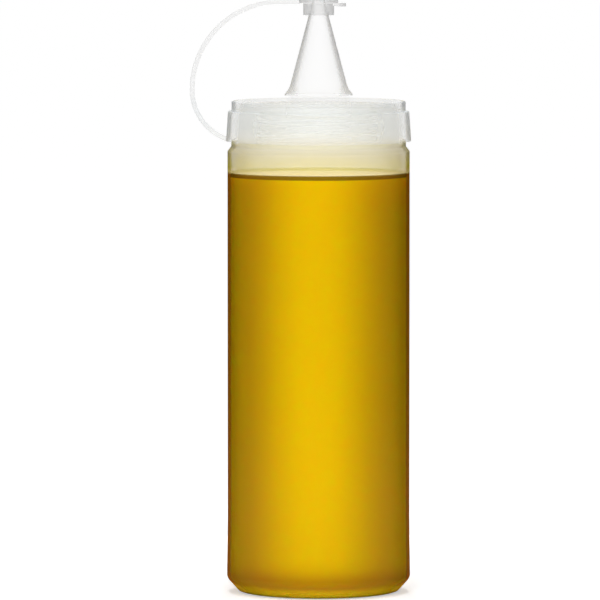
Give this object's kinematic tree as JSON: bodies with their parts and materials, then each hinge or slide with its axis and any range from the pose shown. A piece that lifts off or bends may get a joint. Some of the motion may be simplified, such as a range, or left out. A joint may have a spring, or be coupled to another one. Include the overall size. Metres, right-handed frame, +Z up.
{
  "type": "oil squeeze bottle",
  "caption": "Wide-mouth squeeze bottle filled with golden oil, with a screw lid, a conical nozzle and a tip cap held by a looped strap.",
  "frame": {"origin": "on the bottle's axis, in the plane of its standing ring", "axes": "+Z up along the bottle and nozzle; the strap loops out to -X and the cap's finger tab points to +X"},
  "size_m": [0.0875, 0.0732, 0.2385],
  "materials": {
    "bottle_plastic": "natural translucent soft plastic, satin, faintly frosted",
    "oil": "golden yellow cooking oil, clear, darker where it is thick",
    "lid_plastic": "natural translucent soft plastic, satin"
  },
  "bodies": {
    "root": {"bottle": "bottle_plastic", "oil": "oil", "lid": "lid_plastic", "tip_cap": "lid_plastic", "strap": "lid_plastic"}
  },
  "joints": []
}
